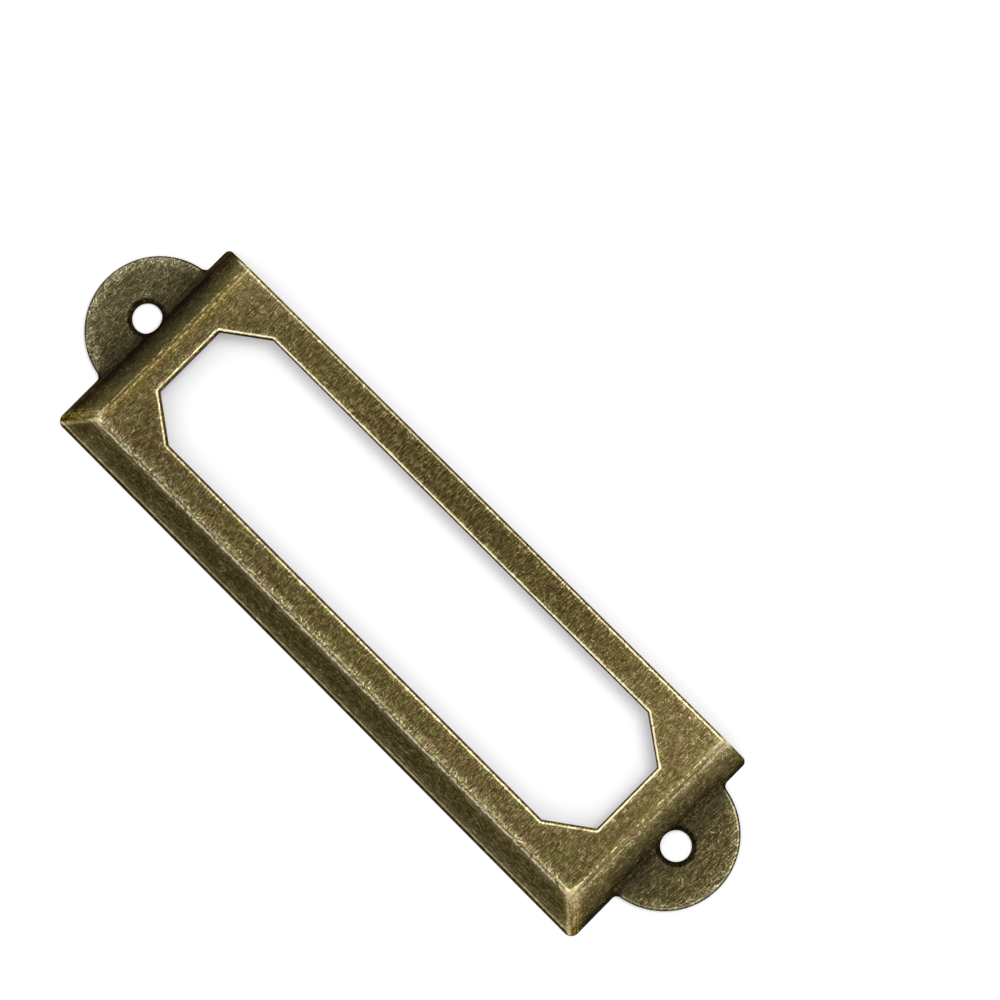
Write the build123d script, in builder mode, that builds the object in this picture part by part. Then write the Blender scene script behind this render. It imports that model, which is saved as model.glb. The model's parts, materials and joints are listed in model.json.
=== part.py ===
from build123d import *
import os
from math import atan2, cos, sin, tan

# Drawer label holder, stamped from one piece of sheet metal.
# A raised window frame with three sloped sides holds a card against a drawer front. The fourth
# side is open, and the card slides in there. A round ear with a countersunk screw hole stands out
# at each end, flat against the drawer.
# Millimetres. The origin is midway between the two screw holes, in the plane of the drawer front.
# +X runs along the holder, +Y points to the open side and +Z away from the drawer.

# Sheet and stamped height
sheet = 0.7
face_height = 3.0

# Body outline on the drawer front
body_length = 70.2
open_edge_y = 10.45
closed_edge_y = -13.3
slope_run = 3.1
foot_height = 0.22
closed_corner_radius = 0.85
open_corner_radius = 0.55

# Window in the raised face: a rectangle with its corners cut off
window_length = 58.8
window_width = 14.1
window_cut_x = 4.25
window_cut_y = 3.05
window_corner_radius = 0.25

# Ears and screw holes
overall_length = 83.0
ear_radius = 7.25
hole_spacing = 71.8
hole_diameter = 3.0
countersink_diameter = 3.9
countersink_depth = 0.4

# Outside radii of the bends. The valley is the bend where an end slope turns into its ear, and
# the same rounding runs on down the ear's neck.
ridge_radius = 1.0
hip_radius = 0.95
valley_radius = 0.4

# Rounding of the trimmed edges on the front. The back keeps its sharp sheared edges.
edge_radius = 0.15

# Sheet left over around the body until it is trimmed
trim_margin = 3.0
draw_depth = 1.5

# Worked out from the driving dimensions
half_length = body_length / 2
ridge_x = half_length - slope_run
ridge_y = closed_edge_y + slope_run
slope_angle = atan2(face_height - foot_height, slope_run)
valley_x = ridge_x + (face_height - sheet) / tan(slope_angle)
heel_x = valley_x + sheet / tan(slope_angle) - sheet / sin(slope_angle)
ear_centre_x = overall_length / 2 - ear_radius
ear_root_x = (heel_x + valley_x) / 2


def drawn_form(inward):
    """Return the drawn pan as a solid with its faces moved inward by that distance.

    The bends keep their centres, so two such forms leave an even sheet between them. The pan
    runs below the drawer front and past the open side, where it is trimmed later.
    """
    top = face_height - inward
    inset = inward * tan(slope_angle / 2)
    spread = (top + draw_depth) / tan(slope_angle)
    high_y = open_edge_y + trim_margin
    with BuildPart() as form:
        for level, outward in ((-draw_depth, spread), (top, 0.0)):
            low_y = ridge_y + inset - outward
            with BuildSketch(Plane.XY.offset(level)):
                with Locations((0, high_y)):
                    Rectangle(
                        2 * (ridge_x - inset + outward), high_y - low_y, align=(Align.CENTER, Align.MAX)
                    )
        loft(ruled=True)
        closed_side = form.faces().sort_by(Axis.Y)[0]
        fillet(closed_side.edges().filter_by(Axis.X, reverse=True), hip_radius - inward)
        face = form.faces().sort_by(Axis.Z)[-1]
        fillet(face.edges().sort_by(Axis.Y)[:-1], ridge_radius - inward)
    return form.part


# Body: the sheet between the two forms, trimmed straight down along its outline
with BuildPart() as body:
    add(drawn_form(0.0))
    with BuildSketch() as outline:
        with Locations((0, open_edge_y)):
            Rectangle(body_length, open_edge_y - closed_edge_y, align=(Align.CENTER, Align.MAX))
        fillet(outline.vertices().group_by(Axis.Y)[0], closed_corner_radius)
        fillet(outline.vertices().group_by(Axis.Y)[-1], open_corner_radius)
    extrude(amount=face_height, mode=Mode.INTERSECT)
    add(drawn_form(sheet), mode=Mode.SUBTRACT)
    # One run of edges goes from the open side round the corners and along all the feet
    open_rim = body.edges().filter_by(Axis.X).group_by(Axis.Y)[-1].sort_by(Axis.Z)[-1]
    fillet(open_rim, edge_radius)

# Ears: round plates, cut off where they run into the sheet of the end slopes
with BuildPart() as ears:
    with BuildSketch():
        with Locations((ear_centre_x, 0)):
            Circle(ear_radius)
        with Locations((ear_root_x, 0)):
            Rectangle(
                2 * ear_radius, 2 * ear_radius, align=(Align.MAX, Align.CENTER), mode=Mode.SUBTRACT
            )
    extrude(amount=sheet)
    upper_arc = ears.faces().sort_by(Axis.Z)[-1].edges().filter_by(GeomType.CIRCLE)
    fillet(upper_arc, edge_radius)
    mirror(about=Plane.YZ)

# Countersinks: a cone down to the screw hole, which stops at the foot of the slope
with BuildPart() as countersinks:
    with BuildSketch(Plane.XZ):
        with BuildLine():
            Polyline(
                (hole_spacing / 2, 0),
                (hole_spacing / 2 + hole_diameter / 2, 0),
                (hole_spacing / 2 + hole_diameter / 2, sheet - countersink_depth),
                (hole_spacing / 2 + countersink_diameter / 2, sheet),
                (hole_spacing / 2 + countersink_diameter / 2, face_height),
                (hole_spacing / 2, face_height),
                close=True,
            )
        make_face()
    revolve(axis=Axis((hole_spacing / 2, 0, 0), (0, 0, 1)))
    slope = Plane(origin=(valley_x, 0, sheet), z_dir=(sin(slope_angle), 0, cos(slope_angle)))
    split(bisect_by=slope, keep=Keep.TOP)
    mirror(about=Plane.YZ)

with BuildPart() as label_frame:
    add(body.part)
    add(ears.part)
    # The valleys and the ears' necks, where plate, foot and slope meet
    inner_corners = (
        label_frame.edges()
        .filter_by(lambda e: heel_x < abs(e.center().X) < half_length + edge_radius)
        .filter_by(lambda e: abs(e.center().Y) < ear_radius and e.center().Z > 0)
        .filter_by(lambda e: e.is_interior)
    )
    fillet(inner_corners, valley_radius)
    # The underside of the same bends
    heels = (
        label_frame.faces()
        .sort_by(Axis.Z)[0]
        .edges()
        .filter_by(lambda e: abs(e.center().X) < valley_x and e.length > 2 * ear_radius)
        .group_by(Axis.Y)[-1]
    )
    fillet(heels, valley_radius + sheet)

    # Window, with its corners cut off
    with BuildSketch(Plane.XY.offset(face_height)) as window:
        with BuildLine():
            Polyline(
                (0, window_width / 2),
                (window_length / 2 - window_cut_x, window_width / 2),
                (window_length / 2, window_width / 2 - window_cut_y),
                (window_length / 2, 0),
            )
            mirror(about=Plane.YZ)
            mirror(about=Plane.XZ)
        make_face()
        fillet(window.vertices(), window_corner_radius)
    extrude(amount=-2 * sheet, mode=Mode.SUBTRACT)
    raised_face = label_frame.faces().sort_by(Axis.Z)[-1]
    fillet(raised_face.inner_wires()[0].edges(), edge_radius)

    # Screw holes
    add(countersinks.part, mode=Mode.SUBTRACT)
    with Locations((hole_spacing / 2, 0), (-hole_spacing / 2, 0)):
        Hole(hole_diameter / 2)

print("volume mm3", round(label_frame.part.volume, 2), "faces", len(label_frame.faces()))
label_frame.part.label = "label_frame"
os.makedirs("parts", exist_ok=True)
export_step(label_frame.part, "parts/label_frame.step")
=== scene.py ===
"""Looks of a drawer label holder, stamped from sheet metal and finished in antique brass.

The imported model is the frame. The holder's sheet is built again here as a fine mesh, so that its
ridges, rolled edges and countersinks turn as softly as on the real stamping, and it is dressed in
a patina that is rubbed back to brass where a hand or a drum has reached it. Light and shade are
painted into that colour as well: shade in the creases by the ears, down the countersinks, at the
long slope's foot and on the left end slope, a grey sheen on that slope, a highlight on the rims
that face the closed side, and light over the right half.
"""

import json
import logging
from dataclasses import dataclass
from enum import Enum
from math import atan2, cos, degrees, hypot, pi, radians, sin, sqrt, tan
from typing import Sequence, Union

import bmesh
import bpy
import numpy as np
from mathutils import Matrix, Vector
from mathutils.geometry import delaunay_2d_cdt


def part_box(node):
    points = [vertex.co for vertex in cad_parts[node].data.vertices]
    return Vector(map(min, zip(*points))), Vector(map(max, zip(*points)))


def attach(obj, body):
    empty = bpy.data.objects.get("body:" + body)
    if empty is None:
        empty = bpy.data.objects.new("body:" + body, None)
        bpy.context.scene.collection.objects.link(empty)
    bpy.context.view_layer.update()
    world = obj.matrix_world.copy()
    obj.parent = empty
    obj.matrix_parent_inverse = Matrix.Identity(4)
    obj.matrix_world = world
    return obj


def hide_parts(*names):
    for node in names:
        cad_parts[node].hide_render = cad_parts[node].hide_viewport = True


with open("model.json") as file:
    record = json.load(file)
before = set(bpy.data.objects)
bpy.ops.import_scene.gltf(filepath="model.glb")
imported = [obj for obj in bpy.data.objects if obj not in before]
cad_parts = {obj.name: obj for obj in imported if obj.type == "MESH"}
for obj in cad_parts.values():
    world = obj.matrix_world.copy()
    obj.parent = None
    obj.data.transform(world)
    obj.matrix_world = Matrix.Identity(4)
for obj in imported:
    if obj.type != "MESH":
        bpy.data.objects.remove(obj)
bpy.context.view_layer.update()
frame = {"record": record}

MM = 0.001
NODE = "label_frame"

Array = np.ndarray
Socket = bpy.types.NodeSocket
Feed = Union[float, Socket]
Colour = tuple[float, float, float]

log = logging.getLogger("label_holder")


def smooth_step(low: float, high: float, value: Array) -> Array:
    """Ease from 0 to 1 while a value goes from low to high.

    Args:
        low: Value at which the result leaves 0.
        high: Value at which the result reaches 1.
        value: Values to ease.

    Returns:
        One result between 0 and 1 for each value.
    """
    part = np.clip((value - low) / (high - low), 0.0, 1.0)
    return part * part * (3.0 - 2.0 * part)


def bell(value: Array, centre: float, width: float) -> Array:
    """Give 1 where a value is at the centre, falling off over the width on both sides."""
    return np.exp(-(((value - centre) / width) ** 2))


def soft_min(first: Array, second: Array, width: float) -> Array:
    """Take the lower of two fields, with the crease between them rounded.

    Args:
        first: One field.
        second: The other field.
        width: Difference of the fields within which the crease is rounded.

    Returns:
        The joined field.
    """
    near = np.clip(1.0 - np.abs(first - second) / width, 0.0, 1.0)
    return np.minimum(first, second) - near * near * width / 4.0


def soft_max(first: Array, second: Array, width: float) -> Array:
    """Take the higher of two fields, with the crease between them rounded."""
    return -soft_min(-first, -second, width)


def inside(rings: Sequence[Array], places: Array) -> Array:
    """Tell which places lie inside an outer ring and outside the rings within it.

    Args:
        rings: Closed rings, one row of x and y for each point.
        places: Places to test, one row each.

    Returns:
        True for each place that a line to the side crosses an odd number of times.
    """
    x, y = places[:, :1], places[:, 1:]
    crossings = np.zeros(len(places), int)
    for ring in rings:
        after = np.roll(ring, -1, axis=0)
        spans = (ring[:, 1] > y) != (after[:, 1] > y)
        rise = np.where(after[:, 1] == ring[:, 1], 1.0, after[:, 1] - ring[:, 1])
        meets = ring[:, 0] + (y - ring[:, 1]) * (after[:, 0] - ring[:, 0]) / rise
        crossings += (spans & (meets > x)).sum(axis=1)
    return crossings % 2 == 1


def in_scene(name: str, data: bpy.types.ID) -> bpy.types.Object:
    """Put a new object with that name and data into the scene."""
    thing = bpy.data.objects.new(name, data)
    bpy.context.scene.collection.objects.link(thing)
    return thing


class Mark(Enum):
    """What the sheet's mesh tells its finish about each place."""

    RIM = "from_rim"
    HOLE = "from_hole"
    END = "from_end"
    CLOSED = "from_closed"
    HIP = "from_hip"
    REACH_AND_LIGHT = "reach_and_painted_light"
    BRUSHING = "brushing"
    WARMTH = "warmth"


class Zone(Enum):
    """Which part of the sheet a line of the finish keeps to."""

    WHOLE = "whole sheet"
    FACE = "raised face"
    CLOSEDWARD = "raised edges that face the closed side"
    OPENWARD = "raised edges that face the open side"
    LONG_SIDE = "closed side"
    LEFT_END = "left end"
    RIGHT_END = "right end"
    LEFT_EAR = "left ear"
    RIGHT_EAR = "right ear"


@dataclass(frozen=True)
class Arc:
    """A rounded stretch of a sheet's edge, in millimetres and degrees.

    The metal lies outside the arc's circle where metal_side is 1, and inside it where it is -1.
    """

    x: float
    y: float
    radius: float
    start: float
    end: float
    metal_side: int
    steps: int

    def points(self, depth: float) -> Array:
        """Give the arc's points, moved a depth into the metal.

        Args:
            depth: Distance from the edge.

        Returns:
            One row of x and y for each point.
        """
        closed = abs(self.end - self.start) >= 360.0
        count = self.steps if closed else self.steps + 1
        angles = np.radians(np.linspace(self.start, self.end, count, endpoint=not closed))
        radius = self.radius + self.metal_side * depth
        return np.column_stack((self.x + radius * np.cos(angles), self.y + radius * np.sin(angles)))

    def mirrored(self) -> "Arc":
        """Give the arc's mirror image across the holder's middle, run the other way."""
        start, end = 180.0 - self.end, 180.0 - self.start
        return Arc(-self.x, self.y, self.radius, start, end, self.metal_side, self.steps)


@dataclass(frozen=True)
class EdgeLoop:
    """A closed edge of the sheet: arcs joined by straight runs.

    Runs along the holder have a point at each of the columns, runs across it at each of the rows,
    and slanting runs at even steps.
    """

    arcs: tuple[Arc, ...]
    columns: Array
    rows: Array
    slant_step: float = 0.45
    least_gap: float = 0.03
    straight: float = 1e-6

    def _run(self, start: Array, end: Array, first: Array, last: Array) -> Array:
        """Place the points of a straight run between two arcs.

        Args:
            start: Where the run starts on the edge itself.
            end: Where it ends on the edge itself.
            first: Where it starts at the wanted depth.
            last: Where it ends at the wanted depth.

        Returns:
            The points between the run's ends.
        """
        run = end - start
        if abs(run[1]) < self.straight:
            parts = (self.columns - start[0]) / run[0]
        elif abs(run[0]) < self.straight:
            parts = (self.rows - start[1]) / run[1]
        else:
            count = max(2, int(round(hypot(*run) / self.slant_step)))
            parts = np.arange(1, count) / count
        margin = self.least_gap / max(hypot(*run), self.least_gap)
        parts = np.sort(parts[(parts > margin) & (parts < 1.0 - margin)])[:, None]
        return first * (1.0 - parts) + last * parts

    def points(self, depth: float) -> Array:
        """Give the whole loop, moved a depth into the metal.

        Args:
            depth: Distance from the edge.

        Returns:
            One row of x and y for each point, the same number for every depth.
        """
        edge = [arc.points(0.0) for arc in self.arcs]
        moved = [arc.points(depth) for arc in self.arcs]
        if len(moved) == 1:
            return moved[0]
        pieces = []
        for index, piece in enumerate(moved):
            after = (index + 1) % len(moved)
            start, end = edge[index][-1], edge[after][0]
            if np.allclose(start, end):
                pieces.append(piece[:-1])
            else:
                pieces += [piece, self._run(start, end, piece[-1], moved[after][0])]
        return np.vstack(pieces)


@dataclass(frozen=True)
class StampedSheet:
    """Sizes of the holder's sheet in millimetres, and the edges that they make.

    The frame gives the outer sizes and the screw holes, and the rest is set here. The sheet is
    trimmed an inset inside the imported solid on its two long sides, and the window's lower edge is
    window_low further down than its upper edge is up.
    """

    half_reach: float
    open_y: float
    closed_y: float
    height: float
    hole_x: float
    hole_radius: float
    inset: float = 0.06
    thickness: float = 0.7
    body_half: float = 35.1
    slope_run: float = 3.1
    foot: float = 0.22
    ear_radius: float = 7.25
    neck_radius: float = 0.6
    neck_fall: float = 1.4
    closed_corner: float = 0.85
    open_corner: float = 0.55
    window_half_length: float = 29.4
    window_half_width: float = 7.05
    window_cut_x: float = 4.25
    window_cut_y: float = 3.05
    window_corner: float = 0.25
    window_low: float = 0.04
    long_ridge: float = 0.5
    end_ridge: float = 1.7
    least_ridge: float = 0.12
    ridge_blend: float = 1.3
    hip: float = 0.8
    valley: float = 0.3
    heel: float = 0.4
    countersink_radius: float = 1.95
    countersink_depth: float = 0.4
    countersink_crease: float = 0.05
    roll_width: float = 0.34
    roll_depth: float = 0.24
    roll_share: float = 0.55

    @classmethod
    def from_frame(cls) -> "StampedSheet":
        """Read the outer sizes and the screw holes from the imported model.

        Returns:
            The sheet's sizes.
        """
        low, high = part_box(NODE)
        holes = next(m for m in frame["record"]["mounts"] if m["name"] == "screw_holes")["dims"]
        return cls(
            half_reach=high.x / MM,
            open_y=high.y / MM - cls.inset,
            closed_y=low.y / MM + cls.inset,
            height=high.z / MM,
            hole_x=holes["spacing_x_mm"] / 2,
            hole_radius=holes["hole_r_mm"],
        )

    @property
    def slope(self) -> float:
        """Angle of the three slopes, in radians."""
        return atan2(self.height - self.foot, self.slope_run)

    @property
    def ear_x(self) -> float:
        """Distance of an ear's centre from the holder's middle."""
        return self.half_reach - self.ear_radius

    def columns(self) -> Array:
        """Place the mesh's lines across the holder, close together over the bends.

        Returns:
            Their distances from the middle, below 0 on the left.
        """
        ridge = self.body_half - self.slope_run
        spans = (
            (0.0, ridge - 1.4, 0.6),
            (ridge - 1.3, ridge + 1.1, 0.1),
            (ridge + 1.1, self.ear_x - 0.1, 0.2),
            (self.ear_x, self.body_half + 0.3, 0.08),
            (self.body_half + 0.4, self.half_reach, 0.32),
        )
        half = np.concatenate([np.arange(*span) for span in spans])
        return np.unique(np.round(np.concatenate((-half, half)), 5))

    def rows(self) -> Array:
        """Place the mesh's lines along the holder, close together over the long ridge.

        Returns:
            Their distances from the line through the screw holes, below 0 on the closed side.
        """
        ridge = self.closed_y + self.slope_run
        spans = (
            (self.closed_y, ridge - 0.45, 0.24),
            (ridge - 0.42, ridge + 0.42, 0.06),
            (ridge + 0.5, self.open_y, 0.36),
        )
        return np.concatenate([np.arange(*span) for span in spans])

    def _loop(self, arcs: Sequence[Arc]) -> EdgeLoop:
        """Join arcs to a closed edge, with its points on the mesh's lines."""
        return EdgeLoop(tuple(arcs), self.columns(), self.rows())

    def outline(self) -> EdgeLoop:
        """Draw the outer edge: a rectangle with rounded corners and a round ear at each end.

        Returns:
            The edge.
        """
        neck, opened, shut = self.neck_radius, self.open_corner, self.closed_corner
        neck_x = self.body_half + neck
        neck_y = sqrt((self.ear_radius + neck) ** 2 - (neck_x - self.ear_x) ** 2)
        turn = degrees(atan2(neck_y, neck_x - self.ear_x))
        right = [
            Arc(self.body_half - opened, self.open_y - opened, opened, 90, 0, -1, 8),
            Arc(neck_x, neck_y, neck, 180, 180 + turn, 1, 8),
            Arc(self.ear_x, 0, self.ear_radius, turn, -turn, -1, 72),
            Arc(neck_x, -neck_y, neck, 180 - turn, 180, 1, 8),
            Arc(self.body_half - shut, self.closed_y + shut, shut, 0, -90, -1, 10),
        ]
        return self._loop(right + [arc.mirrored() for arc in reversed(right)])

    def window(self) -> EdgeLoop:
        """Draw the window's edge: a rectangle with its corners cut off.

        Returns:
            The edge.
        """
        cut = degrees(atan2(self.window_cut_x, self.window_cut_y))
        corners = (
            (self.window_half_length - self.window_cut_x, self.window_half_width, 90.0, cut),
            (self.window_half_length, self.window_half_width - self.window_cut_y, cut, 0.0),
        )
        upper = []
        for x, y, start, end in corners:
            middle = radians((start + end) / 2)
            back = self.window_corner / cos(radians(start - end) / 2)
            centre = (x - back * cos(middle), y - back * sin(middle))
            upper.append(Arc(*centre, self.window_corner, start, end, 1, 5))
        lower = [
            Arc(arc.x, -arc.y - self.window_low, arc.radius, -arc.end, -arc.start, 1, arc.steps)
            for arc in reversed(upper)
        ]
        right = upper + lower
        return self._loop(right + [arc.mirrored() for arc in reversed(right)])

    def hole(self, side: int) -> EdgeLoop:
        """Draw the rim of the screw hole on one side, which is -1 or 1."""
        return self._loop([Arc(side * self.hole_x, 0.0, self.hole_radius, 0.0, 360.0, 1, 72)])


@dataclass(frozen=True)
class SheetSurface:
    """Places on the sheet in millimetres, their distances from its edges and bends, and heights.

    The hips fade out over the hip_fade past the ridges.
    """

    sheet: StampedSheet
    x: Array
    y: Array
    hip_fade: tuple[float, float] = (0.2, 0.9)
    past_hip: float = 9.0

    @property
    def end(self) -> Array:
        """Distance from the foot of the nearer end slope."""
        return self.sheet.body_half - np.abs(self.x)

    @property
    def closed(self) -> Array:
        """Distance from the foot of the closed side's slope."""
        return self.y - self.sheet.closed_y

    @property
    def ear(self) -> Array:
        """Distance from the edge of the nearer ear's circle, below 0 inside it."""
        return np.hypot(np.abs(self.x) - self.sheet.ear_x, self.y) - self.sheet.ear_radius

    @property
    def hole(self) -> Array:
        """Distance from the rim of the nearer screw hole."""
        return np.hypot(np.abs(self.x) - self.sheet.hole_x, self.y) - self.sheet.hole_radius

    @property
    def past_ridges(self) -> Array:
        """How far each place is past the ridges, from 0 on the slopes to 1 on the raised face."""
        near, far = (self.sheet.slope_run + edge for edge in self.hip_fade)
        return smooth_step(near, far, np.minimum(self.end, self.closed))

    @property
    def hip(self) -> Array:
        """Distance from the nearer hip, where two slopes meet.

        Returns:
            The distance, above 0 on the end slope, and far from 0 past the ridges' corner.
        """
        side = np.where(self.closed < self.end, -self.past_hip, self.past_hip)
        return (self.closed - self.end) / sqrt(2.0) + side * self.past_ridges

    @property
    def rim(self) -> Array:
        """Distance from the nearest trimmed edge, of the outline or of the window.

        Returns:
            The distance, above 0 in the metal.
        """
        sheet = self.sheet
        body = np.minimum(self.end, np.minimum(sheet.open_y - self.y, self.closed))
        past_x = np.abs(self.x) - sheet.window_half_length
        past_y = np.maximum(self.y, -self.y - sheet.window_low) - sheet.window_half_width
        cut = past_x * sheet.window_cut_y + (past_y + sheet.window_cut_y) * sheet.window_cut_x
        cut = cut / hypot(sheet.window_cut_x, sheet.window_cut_y)
        window = np.maximum(past_x, past_y)
        return np.minimum(np.maximum(body, -self.ear), np.maximum(window, cut))

    def _pan(self, inward: float) -> Array:
        """Height of the drawn pan: the raised face and its three slopes.

        Args:
            inward: How far the surface lies under the front of the sheet.

        Returns:
            The heights.
        """
        sheet = self.sheet
        slope = sheet.slope
        away = soft_min(self.end, self.closed, sheet.hip)
        share = smooth_step(-sheet.ridge_blend, sheet.ridge_blend, self.closed - self.end)
        bend = sheet.long_ridge + (sheet.end_ridge - sheet.long_ridge) * share
        radius = np.maximum(bend - inward, sheet.least_ridge)
        top = sheet.height - inward
        line = sheet.foot + away * tan(slope) - inward / cos(slope)
        ridge = sheet.slope_run + inward * (1.0 / cos(slope) - 1.0) / tan(slope)
        past = (ridge + radius * tan(slope / 2) - away) / radius
        arc = top - radius * (1.0 - np.sqrt(1.0 - np.clip(past, 0.0, sin(slope)) ** 2))
        return np.where(past < sin(slope), arc, line)

    def front(self) -> Array:
        """Height of the sheet's front, with its ears and countersinks.

        Returns:
            The heights.
        """
        sheet = self.sheet
        plate = sheet.thickness * (1.0 - sheet.neck_fall * smooth_step(0.0, sheet.neck_radius, self.ear))
        surface = soft_max(self._pan(0.0), plate, sheet.valley)
        fall = sheet.countersink_depth / (sheet.countersink_radius - sheet.hole_radius)
        cone = sheet.thickness - sheet.countersink_depth + self.hole * fall
        slope = sheet.foot + self.end * tan(sheet.slope)
        return soft_min(surface, np.maximum(cone, slope), sheet.countersink_crease)

    def back(self) -> Array:
        """Height of the sheet's back, which is flat where the holder meets the drawer."""
        pan = self._pan(self.sheet.thickness)
        return np.maximum(soft_max(pan, np.zeros_like(pan), self.sheet.heel), 0.0)


@dataclass(frozen=True)
class WearAndLight(SheetSurface):
    """How each place has been rubbed, brushed and coloured, with painted light and shade.

    Shares are of what the raised face gets. An end slope has its share at the foot, the gain for
    each millimetre up, and its least and most. The long slope has its share on the left and the
    gain towards the right. An ear has its share by the valley and the gain towards its edge, both
    less on the right. A hip's crest is where it is rubbed most. The spans in the methods are where
    an effect starts and ends, in millimetres.
    """

    ear_start: float = 0.4
    # painted shade: the left end slope darker than the right one
    left_slope: tuple[float, ...] = (-0.6, 0.98, 0.35, 2.2)
    right_slope: tuple[float, ...] = (0.75, 0.66, 1.1, 2.4)
    long_slope: tuple[float, float] = (0.97, 0.2)
    left_ear: tuple[float, float] = (0.38, 0.63)
    right_ear_less: tuple[float, float] = (0.1, 0.27)
    # painted shade in the crease where each ear meets the body
    valley_painted_shade: float = 0.6
    # painted light: the right half made lighter
    right_half_painted_light: float = 0.4
    left_face_more: float = 0.4
    open_bar_less: float = 0.45
    upper_left_more: float = 0.35
    right_corner_more: float = 0.5
    hip_crest: float = 0.18
    hip_width: float = 0.78
    hip_more: tuple[float, float] = (1.15, 0.75)
    long_slope_unbrushed: float = 0.1
    left_slope_unbrushed: float = 0.3
    ridge_unbrushed: float = 0.3
    least_brushed: float = 0.3
    ear_brushed: tuple[float, float] = (0.45, 0.4)
    ear_edge_gold: float = 0.55
    # painted sheen: the left end slope turned grey
    left_slope_painted_sheen: float = 0.9
    long_slope_grey: float = 0.3
    ridge_gold: float = 1.2
    hip_gold: tuple[float, float] = (2.1, 0.6)
    hip_gold_width: float = 0.8

    @property
    def on_right(self) -> Array:
        """How far each place is on the right half, with a soft change at the middle."""
        return smooth_step(-5.0, 5.0, self.x)

    @property
    def past_valley(self) -> Array:
        """Distance out from the valley onto an ear, 0 on the body."""
        return np.clip(self.ear_start - self.end, 0.0, None)

    def near_hip(self, width: float) -> Array:
        """How near each place is to a hip.

        Args:
            width: Distance over which the result falls off.

        Returns:
            One share for each place, 0 on the raised face.
        """
        return (1.0 - self.past_ridges) * bell(self.hip, self.hip_crest, width)

    def _end_slopes(self) -> Array:
        """How light the end slopes are, the left one painted darker than the right as shade.

        Returns:
            One share for each place.
        """
        left, right = (
            np.clip(at_foot + gain * self.end, least, most)
            for at_foot, gain, least, most in (self.left_slope, self.right_slope)
        )
        return left + (right - left) * self.on_right

    def _local(self) -> Array:
        """What single parts of the sheet get more or less than the rest.

        Returns:
            One share for each place, to be added.
        """
        run = self.sheet.slope_run
        x, y, end, closed, on_right = self.x, self.y, self.end, self.closed, self.on_right
        across = smooth_step(self.sheet.closed_y, self.sheet.open_y, y)
        # painted light: the right half made lighter, more so towards the open side
        right = self.right_half_painted_light * smooth_step(3.0, 34.0, x) * (0.3 + 0.95 * across) * (end > 0.0)
        end_face = self.left_face_more * (1.0 - on_right)
        end_face = end_face * smooth_step(7.0, 5.0, end) * smooth_step(run, run + 0.4, end)
        open_bar = -self.open_bar_less * smooth_step(15.0, 18.0, closed) * (end > 4.5)
        open_bar = open_bar * smooth_step(30.0, 12.0, x) * smooth_step(-24.0, -2.0, x)
        upper_left = self.upper_left_more * smooth_step(5.0, 9.0, y) * smooth_step(-22.0, -29.0, x)
        corner = bell(end, 2.9, 0.6) * smooth_step(6.5, 9.5, y)
        corner = corner * (1.0 + self.right_corner_more * on_right)
        left, more = self.hip_more
        hip = self.near_hip(self.hip_width) * (left + more * on_right)
        hip_end = bell(end, 3.35, 0.5) * bell(closed, 3.35, 0.5)
        return right + end_face + open_bar + upper_left * (end > run) + corner + hip + hip_end

    def reach(self) -> Array:
        """How well rubbing reaches each place, with painted light and shade added.

        Returns:
            One share for each place: 1 on the raised face, least down in the valleys, with painted shade
                there.
        """
        run = self.sheet.slope_run
        end, closed = self.end, self.closed
        down_closed = smooth_step(run + 0.1, run - 0.3, closed)
        down_end = smooth_step(run + 0.5, run - 0.5, end) * smooth_step(-0.3, 0.3, closed - end)
        share, gain = self.long_slope
        # painted light: the long slope made lighter towards the right
        long_slope = share + gain * smooth_step(0.0, 30.0, self.x)
        on_body = (1.0 + (long_slope - 1.0) * down_closed) * (1.0 - down_end)
        on_body = on_body + self._end_slopes() * down_end
        share, gain = (
            left - less * self.on_right for left, less in zip(self.left_ear, self.right_ear_less)
        )
        on_ear = share + gain * smooth_step(0.8, 4.0, self.past_valley)
        # painted shade: darker in the crease where each ear meets the body
        valley = bell(end, 0.6, 0.3) * (self.ear < 0.0)
        on_sheet = np.where(end > self.ear_start, on_body, on_ear) * (1.0 - self.valley_painted_shade * valley)
        return on_sheet + self._local()

    def brushing(self) -> Array:
        """How strongly the brush marks show.

        Returns:
            One share for each place: 1 on the raised face, least down on the ears.
        """
        run = self.sheet.slope_run
        down_end = smooth_step(run + 0.1, run - 0.7, self.end)
        down_closed = smooth_step(run, run - 0.3, self.closed)
        ridge = bell(self.end, run - 0.2, 0.6) * (self.closed > self.end)
        on_body = 1.0 - self.long_slope_unbrushed * down_closed - self.ridge_unbrushed * ridge
        on_body = on_body - self.left_slope_unbrushed * (1.0 - self.on_right) * down_end
        share, gain = self.ear_brushed
        on_ear = share + gain * smooth_step(0.0, 3.2, self.past_valley)
        return np.where(self.end > self.ear_start, np.clip(on_body, self.least_brushed, 1.0), on_ear)

    def warmth(self) -> Array:
        """How golden the brass is.

        Returns:
            One value for each place: 0 on the raised face, above 1 on the worn bends, and down to
            -1 where the patina is grey, and on the left end slope where a grey sheen is painted.
        """
        run = self.sheet.slope_run
        end, closed, on_left = self.end, self.closed, 1.0 - self.on_right
        on_end = smooth_step(run - 0.2, run - 0.6, end) * (closed > end)
        on_closed = smooth_step(run - 0.3, run - 0.6, closed) * (closed < end)
        grey = 1.0 - self.ear_edge_gold * smooth_step(0.0, 3.2, self.past_valley)
        grey = grey * smooth_step(0.6, 0.2, end)
        # painted sheen: grey on the left end slope
        grey = np.maximum(grey, self.left_slope_painted_sheen * on_end * on_left)
        grey = np.maximum(grey, self.long_slope_grey * on_closed)
        end_ridge = bell(end - 0.7 * on_left, run - 0.5, 0.7) * (closed > end)
        hip = self.near_hip(self.hip_gold_width)
        right, less = self.hip_gold
        return np.maximum(self.ridge_gold * end_ridge, (right - less * on_left) * hip) - grey * (1.0 - hip)


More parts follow.
